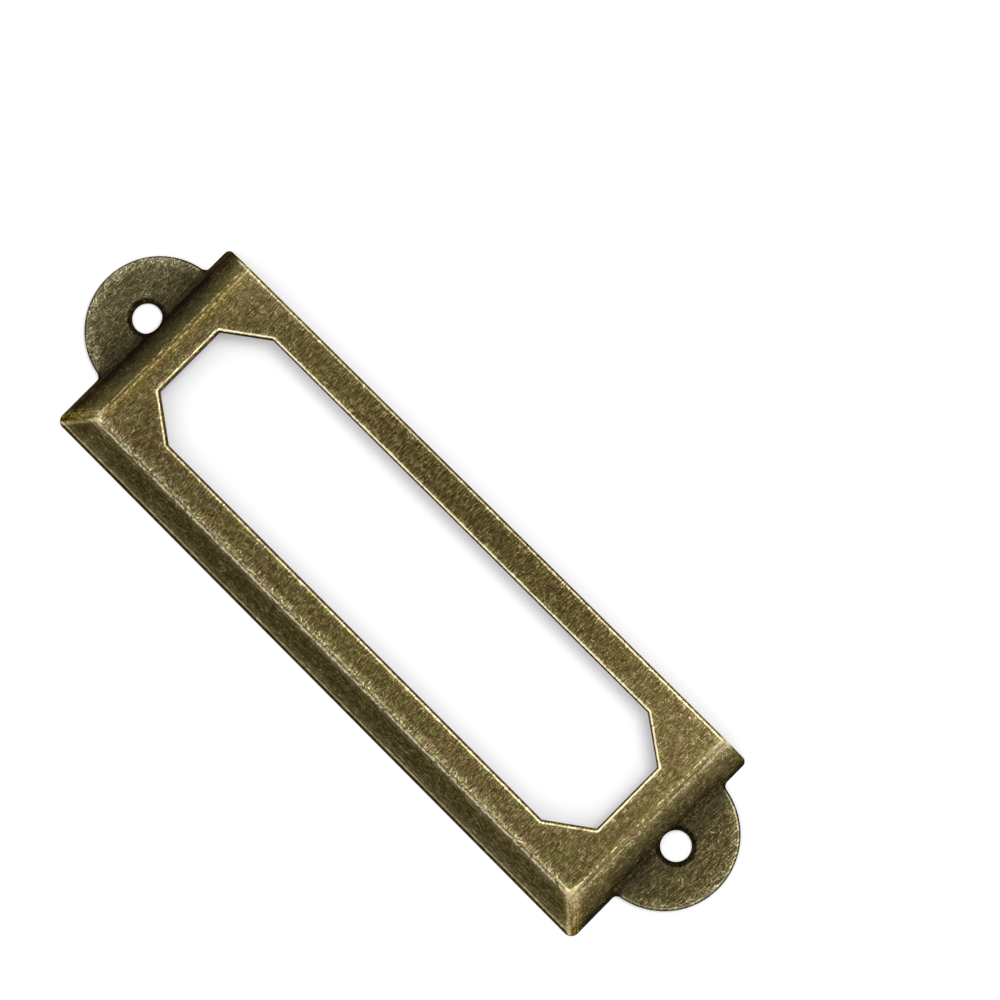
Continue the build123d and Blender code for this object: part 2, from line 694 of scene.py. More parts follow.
class SheetMesh:
    """Builds the fine mesh of the stamped sheet, front, back and trimmed edges."""

    roll_turns = 7
    inner_ring = 0.12
    clearance = 0.09
    hole_depths = (0.0, 0.1, 0.2, 0.3, 0.38, 0.45, 0.52, 0.64)
    sharp_angle = 38.0

    def __init__(self, sheet: StampedSheet) -> None:
        """Start an empty plan of the sheet."""
        self.sheet = sheet
        self.places: list[Array] = []
        self.parts: list[Array] = []
        self.faces: list[tuple[int, ...]] = []
        self.edges: list[list[int]] = []
        self.seams: list[list[int]] = []
        self.count = 0

    def _add(self, places: Array, part: float) -> list[int]:
        """Add points to the plan.

        Args:
            places: One row of x and y for each point.
            part: Their distance from the edge as a part of the roll's width.

        Returns:
            The points' numbers.
        """
        numbers = list(range(self.count, self.count + len(places)))
        self.places.append(places)
        self.parts.append(np.full(len(places), part))
        self.count += len(places)
        return numbers

    def _ring(self, loop: EdgeLoop, depths: Sequence[float], rolled: bool) -> None:
        """Lay rings of quads along an edge.

        Args:
            loop: The edge.
            depths: Distances of the rings from the edge, which start with 0.
            rolled: Whether the edge is rolled over at the front.
        """
        width = self.sheet.roll_width
        rings = [self._add(loop.points(d), d / width if rolled else 1.0) for d in depths]
        for outer, inner in zip(rings, rings[1:]):
            for i, j in self._pairs(len(outer)):
                self.faces.append((outer[i], outer[j], inner[j], inner[i]))
        self.edges.append(rings[0])
        self.seams.append(rings[-1])

    @staticmethod
    def _pairs(count: int) -> list[tuple[int, int]]:
        """Pair each of a closed ring's points with the next one."""
        return [(i, (i + 1) % count) for i in range(count)]

    def _fill(self) -> None:
        """Fill the plan between the rings, with lines that follow the bends."""
        sheet = self.sheet
        x, y = (a.ravel() for a in np.meshgrid(sheet.columns(), sheet.rows()))
        surface = SheetSurface(sheet, x, y)
        keep = surface.rim > sheet.roll_width + self.inner_ring + self.clearance
        keep &= surface.hole > self.hole_depths[-1] + self.clearance
        inner = self._add(np.column_stack((x[keep], y[keep])), 1.0)
        numbers = [n for seam in self.seams for n in seam] + inner
        plan = np.vstack(self.places)
        bounds = []
        start = 0
        for seam in self.seams:
            bounds += [(start + i, start + j) for i, j in self._pairs(len(seam))]
            start += len(seam)
        result = delaunay_2d_cdt([Vector(p) for p in plan[numbers]], bounds, [], 0, 1e-7, True)
        source = np.array([numbers[ids[0]] for ids in result[3]])
        triangles = source[np.array(result[2])]
        metal = inside([plan[seam] for seam in self.seams], plan[triangles].mean(axis=1))
        self.faces += [tuple(face) for face in triangles[metal].tolist()]

    def _drop(self, top: Array) -> Array:
        """How far the rolled edges fall below the front, less where an edge stands low.

        Args:
            top: Height of the front at each point.

        Returns:
            One fall for each point.
        """
        depth = np.minimum(self.sheet.roll_depth, self.sheet.roll_share * top)
        past = np.clip(1.0 - np.concatenate(self.parts), 0.0, 1.0)
        return depth * (1.0 - np.sqrt(1.0 - past ** 2))

    def build(self, name: str) -> bpy.types.Object:
        """Build the sheet.

        Args:
            name: Name of the piece.

        Returns:
            The new object, in the scene, with its distances to edges and bends as attributes.
        """
        sheet = self.sheet
        angles = np.linspace(pi / 2, 0.0, self.roll_turns)
        rolled = [*(sheet.roll_width * (1.0 - np.sin(angles))), sheet.roll_width + self.inner_ring]
        self._ring(sheet.outline(), rolled, True)
        self._ring(sheet.window(), rolled, True)
        for side in (-1, 1):
            self._ring(sheet.hole(side), self.hole_depths, False)
        self._fill()

        surface = SheetSurface(sheet, *np.vstack(self.places).T)
        top = surface.front()
        top = top - self._drop(top)
        under = np.minimum(surface.back(), top)
        verts = np.vstack([np.column_stack((surface.x, surface.y, level)) for level in (top, under)])
        count = self.count
        faces = self.faces + [tuple(v + count for v in reversed(face)) for face in self.faces]
        for edge in self.edges:
            for i, j in self._pairs(len(edge)):
                faces.append((edge[i], edge[i] + count, edge[j] + count, edge[j]))

        mesh = bpy.data.meshes.new(name)
        mesh.from_pydata((verts * MM).tolist(), [], faces)
        self._tidy(mesh)
        self._mark(mesh)
        return in_scene(name, mesh)

    def _tidy(self, mesh: bpy.types.Mesh) -> None:
        """Turn all faces outward and shade them smooth up to the sheared corners."""
        work = bmesh.new()
        work.from_mesh(mesh)
        bmesh.ops.recalc_face_normals(work, faces=work.faces)
        work.to_mesh(mesh)
        work.free()
        mesh.polygons.foreach_set("use_smooth", [True] * len(mesh.polygons))
        mesh.set_sharp_from_angle(angle=radians(self.sharp_angle))

    def _mark(self, mesh: bpy.types.Mesh) -> None:
        """Write each point's distances, in millimetres, and its wear and painted light and shade for the
        finish to read.
        """
        points = np.empty(len(mesh.vertices) * 3, np.float32)
        mesh.vertices.foreach_get("co", points)
        x, y, _ = (points.reshape(-1, 3) / MM).T
        at_front = np.arange(len(x)) < self.count
        wear_and_light = WearAndLight(self.sheet, x, y)
        marks = {
            Mark.RIM: np.clip(wear_and_light.rim, 0.0, None),
            Mark.HOLE: wear_and_light.hole,
            Mark.END: wear_and_light.end,
            Mark.CLOSED: wear_and_light.closed,
            Mark.HIP: wear_and_light.hip,
            Mark.REACH_AND_LIGHT: np.where(at_front, wear_and_light.reach(), 0.0),
            Mark.BRUSHING: np.where(at_front, wear_and_light.brushing(), 0.0),
            Mark.WARMTH: np.where(at_front, wear_and_light.warmth(), 0.0),
        }
        for mark, values in marks.items():
            layer = mesh.attributes.new(mark.value, "FLOAT", "POINT")
            layer.data.foreach_set("value", values.astype(np.float32))


class Wiring:
    """Short ways to add and join the nodes of one node tree."""

    def __init__(self, tree: bpy.types.NodeTree) -> None:
        """Work on that node tree."""
        self.tree = tree

    def node(self, kind: str, **settings: object) -> bpy.types.Node:
        """Add a node.

        Args:
            kind: Its type, without the leading ShaderNode.
            **settings: Properties to set on it.

        Returns:
            The new node.
        """
        prefix = "" if kind.startswith("NodeGroup") else "ShaderNode"
        new = self.tree.nodes.new(prefix + kind)
        for key, value in settings.items():
            setattr(new, key, value)
        return new

    def feed(self, socket: Socket, value: Feed) -> None:
        """Join a socket to another, or set its value."""
        if isinstance(value, bpy.types.NodeSocket):
            self.tree.links.new(value, socket)
        else:
            socket.default_value = value

    def math(self, operation: str, *values: Feed, clamp: bool = False) -> Socket:
        """Add a math node.

        Args:
            operation: What it does.
            *values: Its one to three inputs.
            clamp: Whether the result stays between 0 and 1.

        Returns:
            The result's socket.
        """
        new = self.node("Math", operation=operation, use_clamp=clamp)
        for socket, value in zip(new.inputs, values):
            self.feed(socket, value)
        return new.outputs[0]

    def span(self, value: Feed, low: Feed, high: Feed, start: Feed = 0.0, end: Feed = 1.0) -> Socket:
        """Map a value smoothly from one span to another.

        Args:
            value: The value.
            low: Where the span starts.
            high: Where it ends.
            start: Result at its start.
            end: Result at its end.

        Returns:
            The result's socket.
        """
        new = self.node("MapRange", interpolation_type="SMOOTHSTEP")
        names = ("Value", "From Min", "From Max", "To Min", "To Max")
        for name, item in zip(names, (value, low, high, start, end)):
            self.feed(new.inputs[name], item)
        return new.outputs["Result"]

    def noise(self, vector: Socket, scale: Feed, detail: float = 2.0, roughness: float = 0.5) -> Socket:
        """Add a noise texture.

        Args:
            vector: Where it is read.
            scale: How many features it has in one unit of that vector.
            detail: How many finer layers it has.
            roughness: How strong they are.

        Returns:
            The socket of its value, around 0.5.
        """
        new = self.node("TexNoise")
        names = ("Vector", "Scale", "Detail", "Roughness")
        for name, item in zip(names, (vector, scale, detail, roughness)):
            self.feed(new.inputs[name], item)
        return new.outputs["Fac"]

    def parts(self, vector: Socket) -> bpy.types.NodeOutputs:
        """Take a vector apart into X, Y and Z."""
        apart = self.node("SeparateXYZ")
        self.feed(apart.inputs[0], vector)
        return apart.outputs

    def ramp(self, value: Socket, stops: Sequence[tuple[float, Colour]], kind: str) -> Socket:
        """Turn a value into a colour.

        Args:
            value: The value.
            stops: Value and colour of each stop, in rising order.
            kind: How the ramp goes between stops, such as LINEAR.

        Returns:
            The socket of the colour.
        """
        new = self.node("ValToRGB")
        new.color_ramp.interpolation = kind
        elements = new.color_ramp.elements
        made = len(elements)
        for index, (position, colour) in enumerate(stops):
            element = elements[index] if index < made else elements.new(position)
            element.position = position
            element.color = (*colour, 1.0)
        self.feed(new.inputs["Fac"], value)
        return new.outputs["Color"]

    def group(self, tree: bpy.types.NodeTree, **values: Feed) -> bpy.types.NodeOutputs:
        """Place a shared node group.

        Args:
            tree: The group's tree.
            **values: What its inputs get.

        Returns:
            The group node's outputs.
        """
        new = self.node("Group")
        new.node_tree = tree
        for key, value in values.items():
            self.feed(new.inputs[key], value)
        return new.outputs


class GroupWiring(Wiring):
    """The wiring of a shared node group, with its inputs in given and its outputs in result."""

    kinds = {"Place": "Vector", "Colour": "Color"}

    def __init__(self, name: str, inputs: Sequence[str], outputs: Sequence[str]) -> None:
        """Start a node group.

        Args:
            name: The group's name.
            inputs: Names of its inputs, plain numbers but for those in kinds.
            outputs: Names of its outputs, plain numbers but for those in kinds.
        """
        super().__init__(bpy.data.node_groups.new(name, "ShaderNodeTree"))
        for way, labels in (("INPUT", inputs), ("OUTPUT", outputs)):
            for label in labels:
                kind = "NodeSocket" + self.kinds.get(label, "Float")
                self.tree.interface.new_socket(name=label, in_out=way, socket_type=kind)
        self.given = self.node("NodeGroupInput").outputs
        self.result = self.node("NodeGroupOutput").inputs


class SharedEffects:
    """The node groups that the holder's finishes share, each built once."""

    stroke_sway = 0.3
    stroke_edge = 0.07
    speck_scale = 0.8
    speck_edge = (0.63, 0.7)
    drift_scale = 2.5
    rag_scale = 4.0
    gap_scale = 2.6
    gap_level = 0.18
    gap_edge = 0.12
    patina_roughness = 0.5
    brass_roughness = 0.36
    patina_metal = 0.92
    stops = (
        (0.0, (0.012, 0.008, 0.003)),
        (0.15, (0.051, 0.037, 0.011)),
        (0.24, (0.080, 0.061, 0.021)),
        (0.35, (0.136, 0.105, 0.040)),
        (0.46, (0.195, 0.153, 0.067)),
        (0.56, (0.266, 0.216, 0.103)),
        (0.67, (0.361, 0.300, 0.152)),
        (0.78, (0.474, 0.402, 0.218)),
        (0.89, (0.591, 0.515, 0.310)),
        (1.0, (0.960, 0.860, 0.570)),
    )
    base_hue = 0.501
    drift_hue = 0.013
    gold_hue = -0.012
    grey_hue = 0.012
    gold_from = 0.7
    warm_saturation = 0.19

    def __init__(self) -> None:
        """Build all the groups."""
        self.strokes = self._strokes()
        self.mottling = self._mottling()
        self.line = self._line()
        self.tone = self._tone()

    def _strokes(self) -> bpy.types.NodeTree:
        """Fine strokes in one direction, as a brush leaves them.

        Returns:
            A group with the inputs Place, Turn, Width, Length, Threshold and Shift, and the output
            Strokes.
        """
        inputs = ("Place", "Turn", "Width", "Length", "Threshold", "Shift")
        w = GroupWiring("brush strokes", inputs, ("Strokes",))
        turned = w.node("VectorRotate", rotation_type="Z_AXIS")
        w.feed(turned.inputs["Vector"], w.given["Place"])
        w.feed(turned.inputs["Angle"], w.given["Turn"])
        apart = w.parts(turned.outputs[0])
        sway = w.noise(w.given["Place"], 0.5, 0.0)
        across = w.math("MULTIPLY_ADD", sway, self.stroke_sway, apart["X"])
        packed = w.node("CombineXYZ")
        w.feed(packed.inputs["X"], w.math("DIVIDE", across, w.given["Width"]))
        w.feed(packed.inputs["Y"], w.math("DIVIDE", apart["Y"], w.given["Length"]))
        w.feed(packed.inputs["Z"], w.math("ADD", apart["Z"], w.given["Shift"]))
        lines = w.noise(packed.outputs[0], 1.0, 0.0)
        full = w.math("ADD", w.given["Threshold"], self.stroke_edge)
        w.feed(w.result["Strokes"], w.span(lines, w.given["Threshold"], full))
        return w.tree

    def _mottling(self) -> bpy.types.NodeTree:
        """Cloudy and fine unevenness of a chemical patina.

        Returns:
            A group with the inputs Place, Cloud and Grain, the feature sizes in millimetres, and
            the outputs Clouds, Grain, Specks and Drift.
        """
        outputs = ("Clouds", "Grain", "Specks", "Drift")
        w = GroupWiring("patina mottling", ("Place", "Cloud", "Grain"), outputs)
        place = w.given["Place"]
        cloud_scale = w.math("DIVIDE", 1.0, w.given["Cloud"])
        grain_scale = w.math("DIVIDE", 1.0, w.given["Grain"])
        clouds = w.noise(place, cloud_scale, 3.0, 0.55)
        grain = w.noise(place, grain_scale, 2.0, 0.6)
        specks = w.noise(place, w.math("MULTIPLY", grain_scale, self.speck_scale), 0.0)
        drift = w.noise(place, w.math("MULTIPLY", cloud_scale, self.drift_scale), 1.0)
        w.feed(w.result["Clouds"], w.math("SUBTRACT", clouds, 0.5))
        w.feed(w.result["Grain"], w.math("SUBTRACT", grain, 0.5))
        w.feed(w.result["Specks"], w.span(specks, *self.speck_edge))
        w.feed(w.result["Drift"], w.span(drift, 0.3, 0.7, -1.0, 1.0))
        return w.tree

    def _line(self) -> bpy.types.NodeTree:
        """A ragged line along an edge or a bend.

        Returns:
            A group with the inputs Distance, Centre, Reach, Raggedness, Breaks, Place and Shift, and
            the output Line.
        """
        inputs = ("Distance", "Centre", "Reach", "Raggedness", "Breaks", "Place", "Shift")
        w = GroupWiring("ragged line", inputs, ("Line",))
        offset = w.node("CombineXYZ")
        w.feed(offset.inputs["Z"], w.given["Shift"])
        moved = w.node("VectorMath", operation="ADD")
        w.feed(moved.inputs[0], w.given["Place"])
        w.feed(moved.inputs[1], offset.outputs[0])
        unevenness = w.math("SUBTRACT", w.noise(moved.outputs[0], self.rag_scale), 0.5)
        distance = w.math("MULTIPLY_ADD", unevenness, w.given["Raggedness"], w.given["Distance"])
        off = w.math("ABSOLUTE", w.math("SUBTRACT", distance, w.given["Centre"]))
        line = w.span(off, 0.0, w.given["Reach"], 1.0, 0.0)
        gaps = w.noise(moved.outputs[0], self.gap_scale, roughness=0.7)
        start = w.math("MULTIPLY_ADD", w.given["Breaks"], 0.5, self.gap_level)
        kept = w.span(gaps, start, w.math("ADD", start, self.gap_edge))
        w.feed(w.result["Line"], w.math("MULTIPLY", line, kept))
        return w.tree

    def _tone(self) -> bpy.types.NodeTree:
        """The colours of antique brass, from untouched patina to bare metal.

        Returns:
            A group with the inputs Rubbing, Warmth and Drift, and the outputs Colour, Roughness
            and Metal.
        """
        inputs = ("Rubbing", "Warmth", "Drift")
        w = GroupWiring("antique brass tone", inputs, ("Colour", "Roughness", "Metal"))
        rubbing_and_light, warmth = w.given["Rubbing"], w.given["Warmth"]
        turned = w.node("HueSaturation")
        w.feed(turned.inputs["Color"], w.ramp(rubbing_and_light, self.stops, "LINEAR"))
        grey = w.math("MAXIMUM", w.math("MULTIPLY", warmth, -1.0), 0.0)
        gold = w.math("MAXIMUM", w.math("SUBTRACT", warmth, self.gold_from), 0.0)
        hue = w.math("MULTIPLY_ADD", w.given["Drift"], self.drift_hue, self.base_hue)
        hue = w.math("MULTIPLY_ADD", gold, self.gold_hue, hue)
        w.feed(turned.inputs["Hue"], w.math("MULTIPLY_ADD", grey, self.grey_hue, hue))
        saturation = w.math("MULTIPLY_ADD", warmth, self.warm_saturation, 1.0)
        w.feed(turned.inputs["Saturation"], saturation)
        w.feed(w.result["Colour"], turned.outputs["Color"])
        roughness = w.span(rubbing_and_light, 0.1, 0.9, self.patina_roughness, self.brass_roughness)
        w.feed(w.result["Roughness"], roughness)
        w.feed(w.result["Metal"], w.span(rubbing_and_light, 0.0, 0.2, self.patina_metal, 1.0))
        return w.tree


@dataclass(frozen=True)
class WearAndLightLine:
    """A line along an edge or a bend, made lighter or darker, in millimetres: wear, painted shade and
    painted highlights.

    It lies where the mark is at its centre, and fades out over its reach. Raggedness moves it to
    and fro, breaks is the share of it that is missing, and the amount is below 0 for a dark line.
    """

    mark: Mark
    zone: Zone
    centre: float
    reach: float
    amount: float
    raggedness: float = 0.1
    breaks: float = 0.0


def lines_along(mark: Mark, zone: Zone, *rows: tuple[float, ...]) -> tuple[WearAndLightLine, ...]:
    """Describe the lines that run beside one another along an edge or a bend.

    Args:
        mark: What their centres are measured from.
        zone: The part of the sheet that they keep to.
        *rows: Centre, reach and amount of each line, then its raggedness and breaks if it has them.

    Returns:
        One line for each row.
    """
    return tuple(WearAndLightLine(mark, zone, *row) for row in rows)


@dataclass(frozen=True)
class StrokeLayer:
    """A layer of fine strokes in one direction, in millimetres and degrees.

    A turn of 0 runs across the holder. The higher the threshold, the fewer strokes there are.
    """

    turn: float
    width: float
    length: float
    threshold: float
    amount: float


class FinishWiring(Wiring):
    """The wiring of one finish's material, with the place on the holder and its zones."""

    line_shift = 5.0
    stroke_shift = 7.0
    slope_strokes_end = 3.05

    def __init__(self, tree: bpy.types.NodeTree, effects: SharedEffects) -> None:
        """Work on that node tree with those shared groups."""
        super().__init__(tree)
        self.effects = effects
        scaled = self.node("VectorMath", operation="SCALE")
        self.feed(scaled.inputs[0], self.node("TexCoord").outputs["Object"])
        self.feed(scaled.inputs["Scale"], 1.0 / MM)
        self.place = scaled.outputs[0]
        self.zones = self._zones()

    def mark(self, mark: Mark) -> Socket:
        """Read one of the sheet's marks."""
        return self.node("Attribute", attribute_name=mark.value).outputs["Fac"]

    def _zones(self) -> dict[Zone, Feed]:
        """Mark the zones that lines keep to.

        Returns:
            For each zone a value that is 1 inside it and 0 outside.
        """
        place = self.parts(self.place)
        end = self.mark(Mark.END)
        long_side = self.span(self.math("SUBTRACT", end, self.mark(Mark.CLOSED)), -0.1, 0.3)
        end_side = self.math("SUBTRACT", 1.0, long_side)
        ear = self.span(end, -0.6, -0.2, 1.0, 0.0)
        left = self.math("LESS_THAN", place["X"], 0.0)
        right = self.math("SUBTRACT", 1.0, left)
        face = self.span(place["Z"], 1.2, 2.7)
        # painted highlight: rims are told apart by the way they face, so those facing the closed side can
        # be made brighter
        normal = self.parts(self.node("TexCoord").outputs["Normal"])
        openward = self.math("MULTIPLY_ADD", normal["X"], 0.35, normal["Y"])
        openward = self.math("MULTIPLY", face, self.span(openward, 0.0, 0.08))
        return {
            Zone.WHOLE: 1.0,
            Zone.FACE: face,
            Zone.CLOSEDWARD: self.math("SUBTRACT", face, openward),
            Zone.OPENWARD: openward,
            Zone.LONG_SIDE: long_side,
            Zone.LEFT_END: self.math("MULTIPLY", end_side, left),
            Zone.RIGHT_END: self.math("MULTIPLY", end_side, right),
            Zone.LEFT_EAR: self.math("MULTIPLY", ear, left),
            Zone.RIGHT_EAR: self.math("MULTIPLY", ear, right),
        }

    def add_lines(self, lines: Sequence[WearAndLightLine]) -> Socket:
        """Add up lines of wear, painted shade and painted highlight.

        Args:
            lines: The lines.

        Returns:
            The socket of their sum.
        """
        total = 0.0
        for index, line in enumerate(lines):
            shape = self.group(
                self.effects.line,
                Distance=self.mark(line.mark),
                Centre=line.centre,
                Reach=line.reach,
                Raggedness=line.raggedness,
                Breaks=line.breaks,
                Place=self.place,
                Shift=self.line_shift * index,
            )["Line"]
            amount = self.math("MULTIPLY", self.zones[line.zone], line.amount)
            total = self.math("MULTIPLY_ADD", shape, amount, total)
        return total

    def brush(self, layers: Sequence[StrokeLayer]) -> Socket:
        """Add up layers of strokes, which run along the closed side's slope and across the rest.

        Args:
            layers: The layers.

        Returns:
            The socket of their sum.
        """
        on_slope = self.math("LESS_THAN", self.mark(Mark.CLOSED), self.slope_strokes_end)
        on_long_side = self.math("GREATER_THAN", self.zones[Zone.LONG_SIDE], 0.5)
        along = self.math("MULTIPLY", on_long_side, on_slope)
        total = 0.0
        for index, layer in enumerate(layers):
            shape = self.group(
                self.effects.strokes,
                Place=self.place,
                Turn=self.math("MULTIPLY_ADD", along, pi / 2, radians(layer.turn)),
                Width=layer.width,
                Length=layer.length,
                Threshold=layer.threshold,
                Shift=self.stroke_shift * index,
            )["Strokes"]
            total = self.math("MULTIPLY_ADD", shape, layer.amount, total)
        return total


@dataclass(frozen=True)
class AntiqueBrass:
    """Brass plating darkened by a patina and rubbed back, with light and shade painted on.

    Amounts are shares of the way from untouched patina, 0, to bare brass, 1. The feature sizes and
    the bump are in millimetres. Bands are broad lines within which the texture is stronger too.
    """

    name: str
    level: float
    reach_gain: float
    cloud_size: float
    cloud_amount: float
    grain_size: float
    grain_amount: float
    speck_amount: float
    strokes: tuple[StrokeLayer, ...]
    bands: tuple[WearAndLightLine, ...]
    lines: tuple[WearAndLightLine, ...]
    grazing: Colour
    band_gain: float = 0.1
    low_texture: float = 0.25
    full_texture: float = 0.7
    bump_strength: float = 0.5
    bump: float = 0.02

    def material(self, effects: SharedEffects) -> bpy.types.Material:
        """Build the finish.

        Args:
            effects: The shared node groups.

        Returns:
            The new material.
        """
        material = bpy.data.materials.new(self.name)
        material.use_nodes = True
        w = FinishWiring(material.node_tree, effects)
        shader = material.node_tree.nodes["Principled BSDF"]
        # how far rubbing reaches, with painted light and shade in it
        reach = w.mark(Mark.REACH_AND_LIGHT)
        strength = w.span(reach, 0.0, self.full_texture, self.low_texture, 1.0)
        mottling = w.group(effects.mottling, Place=w.place, Cloud=self.cloud_size, Grain=self.grain_size)
        bands = w.add_lines(self.bands)

        texture = w.math("MULTIPLY", mottling["Grain"], self.grain_amount)
        texture = w.math("MULTIPLY_ADD", mottling["Specks"], self.speck_amount, texture)
        texture = w.math("MULTIPLY", texture, strength)
        texture = w.math("MULTIPLY_ADD", w.brush(self.strokes), w.mark(Mark.BRUSHING), texture)
        rubbing_and_light = w.math("MULTIPLY_ADD", reach, self.reach_gain, self.level)
        rubbing_and_light = w.math("MULTIPLY_ADD", mottling["Clouds"], self.cloud_amount, rubbing_and_light)
        rubbing_and_light = w.math("MULTIPLY_ADD", texture, w.math("ADD", bands, 1.0), rubbing_and_light)
        rubbing_and_light = w.math("MULTIPLY_ADD", bands, self.band_gain, rubbing_and_light)
        rubbing_and_light = w.math("ADD", rubbing_and_light, w.add_lines(self.lines), clamp=True)

        warmth = w.mark(Mark.WARMTH)
        tone = w.group(effects.tone, Rubbing=rubbing_and_light, Warmth=warmth, Drift=mottling["Drift"])
        w.feed(shader.inputs["Base Color"], tone["Colour"])
        w.feed(shader.inputs["Metallic"], tone["Metal"])
        w.feed(shader.inputs["Roughness"], tone["Roughness"])
        shader.inputs["Specular Tint"].default_value = (*self.grazing, 1.0)
        bump = w.node("Bump")
        bump.inputs["Strength"].default_value = self.bump_strength
        bump.inputs["Distance"].default_value = self.bump * MM
        w.feed(bump.inputs["Height"], texture)
        w.feed(shader.inputs["Normal"], bump.outputs["Normal"])
        return material


@dataclass
class LabelFrame:
    """The holder itself, one stamped sheet."""

    sheet: StampedSheet
    effects: SharedEffects

    def build(self) -> bpy.types.Object:
        """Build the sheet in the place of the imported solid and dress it.

        Returns:
            The finished piece.
        """
        piece = SheetMesh(self.sheet).build("stamped_sheet")
        piece.data.materials.append(self._finish().material(self.effects))
        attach(piece, "root")
        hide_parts(NODE)
        return piece

    def _finish(self) -> AntiqueBrass:
        """Describe the sheet's finish."""
        return AntiqueBrass(
            name="antique brass, rubbed, painted light",
            level=0.008,
            reach_gain=0.15,
            cloud_size=2.2,
            cloud_amount=0.045,
            grain_size=0.15,
            grain_amount=0.23,
            speck_amount=0.15,
            strokes=(
                StrokeLayer(turn=0.0, width=0.075, length=1.0, threshold=0.58, amount=0.13),
                StrokeLayer(turn=4.0, width=0.07, length=0.75, threshold=0.6, amount=0.14),
                StrokeLayer(turn=-6.0, width=0.075, length=0.85, threshold=0.62, amount=0.13),
                StrokeLayer(turn=62.0, width=0.08, length=1.0, threshold=0.71, amount=0.24),
                StrokeLayer(turn=-52.0, width=0.08, length=1.0, threshold=0.71, amount=0.24),
                StrokeLayer(turn=2.0, width=0.085, length=0.9, threshold=0.6, amount=-0.1),
            ),
            bands=(
                *lines_along(Mark.CLOSED, Zone.LONG_SIDE, (3.4, 0.8, 0.9, 0.6, 0.3)),
                *lines_along(Mark.END, Zone.LEFT_END, (3.4, 0.8, 0.3, 0.5)),
                *lines_along(Mark.END, Zone.RIGHT_END, (2.6, 1.2, 0.5, 0.5)),
                *lines_along(Mark.HIP, Zone.WHOLE, (0.2, 0.8, 0.8, 0.5)),
                *lines_along(Mark.RIM, Zone.FACE, (0.3, 0.7, 0.4, 0.3)),
                *lines_along(Mark.RIM, Zone.LEFT_EAR, (0.4, 1.1, 0.8, 0.5)),
                *lines_along(Mark.RIM, Zone.RIGHT_EAR, (0.35, 1.0, 0.6, 0.5)),
            ),
            lines=(
                # rubbed rims, with a painted highlight making those that face the closed side brighter
                # than those that face the open side
                *lines_along(Mark.RIM, Zone.CLOSEDWARD, (0.22, 0.18, 0.9, 0.1, 0.2)),
                *lines_along(Mark.RIM, Zone.OPENWARD, (0.26, 0.17, 0.42, 0.1, 0.2), (0.0, 0.2, 0.3)),
                *lines_along(Mark.RIM, Zone.LEFT_EAR, (0.24, 0.17, 0.25, 0.25, 0.4)),
                *lines_along(Mark.RIM, Zone.RIGHT_EAR, (0.2, 0.16, 0.4, 0.15, 0.25)),
                *lines_along(Mark.RIM, Zone.WHOLE, (0.0, 0.17, -0.35, 0.05)),
                *lines_along(
                    Mark.CLOSED, Zone.LONG_SIDE,
                    (0.37, 0.14, 0.5),
                    (0.7, 0.5, 0.12),
                    # painted shadow: a dark line at the foot of the long slope, against the drawer
                    (0.1, 0.2, -0.2),
                    (2.96, 0.15, 0.95, 0.33, 0.4),
                    (2.86, 0.12, 0.45, 0.25, 0.5),
                    (3.3, 0.16, 0.26, 0.3, 0.4),
                    (3.15, 0.1, 0.25, 0.25, 0.4),
                    (2.75, 0.45, 0.17, 0.2, 0.1),
                ),
                *lines_along(
                    Mark.END, Zone.LEFT_END,
                    (3.5, 0.16, 0.36, 0.3, 0.45),
                    (3.08, 0.14, 0.55, 0.3, 0.45),
                    (3.3, 0.8, 0.1, 0.3),
                ),
                *lines_along(
                    Mark.END, Zone.RIGHT_END,
                    (3.2, 0.13, 0.55, 0.35, 0.5),
                    (2.9, 0.1, -0.1, 0.3, 0.4),
                    (2.64, 0.13, 0.55, 0.35, 0.5),
                    (2.9, 1.0, 0.17, 0.3),
                ),
                *lines_along(
                    Mark.HIP, Zone.WHOLE,
                    (-0.27, 0.28, 0.45, 0.5, 0.35),
                    (0.12, 0.12, -0.15, 0.4, 0.3),
                    (0.38, 0.1, 0.4, 0.5, 0.55),
                    (0.65, 0.13, 0.4, 0.5, 0.5),
                    (0.95, 0.12, 0.28, 0.5, 0.55),
                ),
                # painted shade: a dark ring down each countersink
                *lines_along(Mark.HOLE, Zone.WHOLE, (0.1, 0.42, -0.14, 0.9, 0.3)),
                # painted shade: darker bands along the crease at the foot of each end slope
                *lines_along(
                    Mark.END, Zone.LEFT_END,
                    (0.65, 0.28, -0.12, 0.15),
                    (0.1, 0.3, -0.07, 0.2),
                    (0.9, 1.0, -0.03, 0.3),
                ),
                *lines_along(
                    Mark.END, Zone.RIGHT_END,
                    (0.55, 0.28, -0.1, 0.15),
                    (0.15, 0.35, -0.12, 0.2),
                ),
            ),
            grazing=(0.6, 0.48, 0.28),
        )


